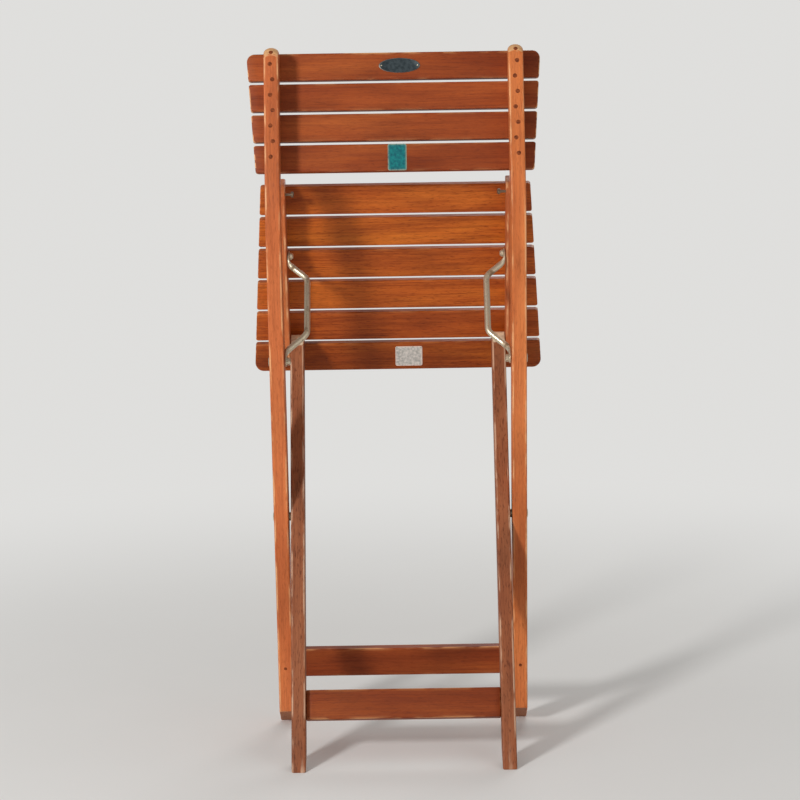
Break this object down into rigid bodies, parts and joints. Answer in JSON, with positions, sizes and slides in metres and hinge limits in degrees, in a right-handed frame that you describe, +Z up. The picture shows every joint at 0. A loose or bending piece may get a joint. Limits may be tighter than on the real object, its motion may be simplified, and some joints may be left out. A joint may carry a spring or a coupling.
{
  "type": "folding chair",
  "caption": "Armless folding patio chair in oiled teak with a slatted seat and back, partly folded.",
  "frame": {"origin": "middle of the chair's box on the floor, in the pose of the picture", "axes": "+Z up, +Y towards the chair's front, +X to the right seen from behind"},
  "size_m": [0.413, 0.354, 0.9644],
  "materials": {
    "rail_teak": "oiled reddish teak",
    "slat_teak": "oiled reddish teak",
    "leg_teak": "weathered teak",
    "plug_wood": "dark filled wood",
    "dull_steel": "dull brass-plated steel",
    "dark_plate": "dark satin"
  },
  "bodies": {
    "long_frame": {"long_rail_left": "rail_teak", "top_screw_left": "dull_steel", "tenon_pin_left": "plug_wood", "leg_bolt_left": "dull_steel", "leg_washer_left": "dull_steel", "link_bolt_left": "dull_steel", "rail_plug_left_1": "plug_wood", "rail_plug_left_2": "plug_wood", "rail_plug_left_3": "plug_wood", "rail_plug_left_4": "plug_wood", "rail_plug_left_5": "plug_wood", "rail_plug_left_6": "plug_wood", "rail_plug_left_7": "plug_wood", "long_rail_right": "rail_teak", "top_screw_right": "dull_steel", "tenon_pin_right": "plug_wood", "leg_bolt_right": "dull_steel", "leg_washer_right": "dull_steel", "link_bolt_right": "dull_steel", "rail_plug_right_1": "plug_wood", "rail_plug_right_2": "plug_wood", "rail_plug_right_3": "plug_wood", "rail_plug_right_4": "plug_wood", "rail_plug_right_5": "plug_wood", "rail_plug_right_6": "plug_wood", "rail_plug_right_7": "plug_wood", "back_slat_1": "slat_teak", "back_slat_2": "slat_teak", "back_slat_3": "slat_teak", "back_slat_4": "slat_teak", "front_stretcher": "slat_teak", "maker_plate": "dark_plate"},
    "leg_frame": {"rear_leg_left": "leg_teak", "seat_bolt_left": "dull_steel", "rear_leg_right": "leg_teak", "seat_bolt_right": "dull_steel", "rear_stretcher": "leg_teak"},
    "seat": {"seat_rail_left": "rail_teak", "stop_bolt_left": "dull_steel", "seat_rail_right": "rail_teak", "stop_bolt_right": "dull_steel", "seat_slat_1": "slat_teak", "seat_slat_2": "slat_teak", "seat_slat_3": "slat_teak", "seat_slat_4": "slat_teak", "seat_slat_5": "slat_teak", "seat_slat_6": "slat_teak"},
    "link_bars": {"link_left": "dull_steel", "link_end_bolt_left": "dull_steel", "link_right": "dull_steel", "link_end_bolt_right": "dull_steel"}
  },
  "joints": [
    {"name": "leg_fold", "type": "hinge", "parent": "long_frame", "child": "leg_frame", "pos_m": [0, 0.01053, 0.31317], "axis": [-1, 0, 0], "range_deg": [-5, 49.5]},
    {"name": "seat_turn", "type": "hinge", "parent": "leg_frame", "child": "seat", "pos_m": [0, 0.12496, 0.52754], "axis": [-1, 0, 0], "range_deg": [-91.5, 9.5]},
    {"name": "link_turn", "type": "hinge", "parent": "long_frame", "child": "link_bars", "pos_m": [0, -0.01308, 0.53753], "axis": [-1, 0, 0], "range_deg": [-9, 87.5]}
  ],
  "couplings": [
    {"joint": "seat_turn", "follows": "leg_fold", "ratio": -1.82},
    {"joint": "link_turn", "follows": "leg_fold", "ratio": 1.75}
  ]
}
